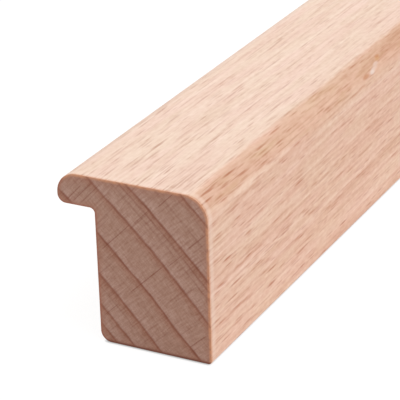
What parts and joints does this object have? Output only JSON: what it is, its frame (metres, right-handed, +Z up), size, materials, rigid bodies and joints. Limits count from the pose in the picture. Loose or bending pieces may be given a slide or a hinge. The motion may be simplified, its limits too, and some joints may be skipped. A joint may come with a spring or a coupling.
{
  "type": "rebate strip",
  "caption": "Length of planed solid beech moulding with a rebate along its back under a bullnosed lip, and a rounded front edge.",
  "frame": {"origin": "middle of the overall box in X and Y, on the plane of the underside", "axes": "+X across the strip from the rebate towards the plain outer face, +Y along the grain, +Z up from the underside to the top face"},
  "size_m": [0.02, 1, 0.0215],
  "materials": {
    "beech": "planed and lightly sanded, raw, with sawn end grain"
  },
  "bodies": {
    "root": {"rebate_strip": "beech"}
  },
  "joints": []
}
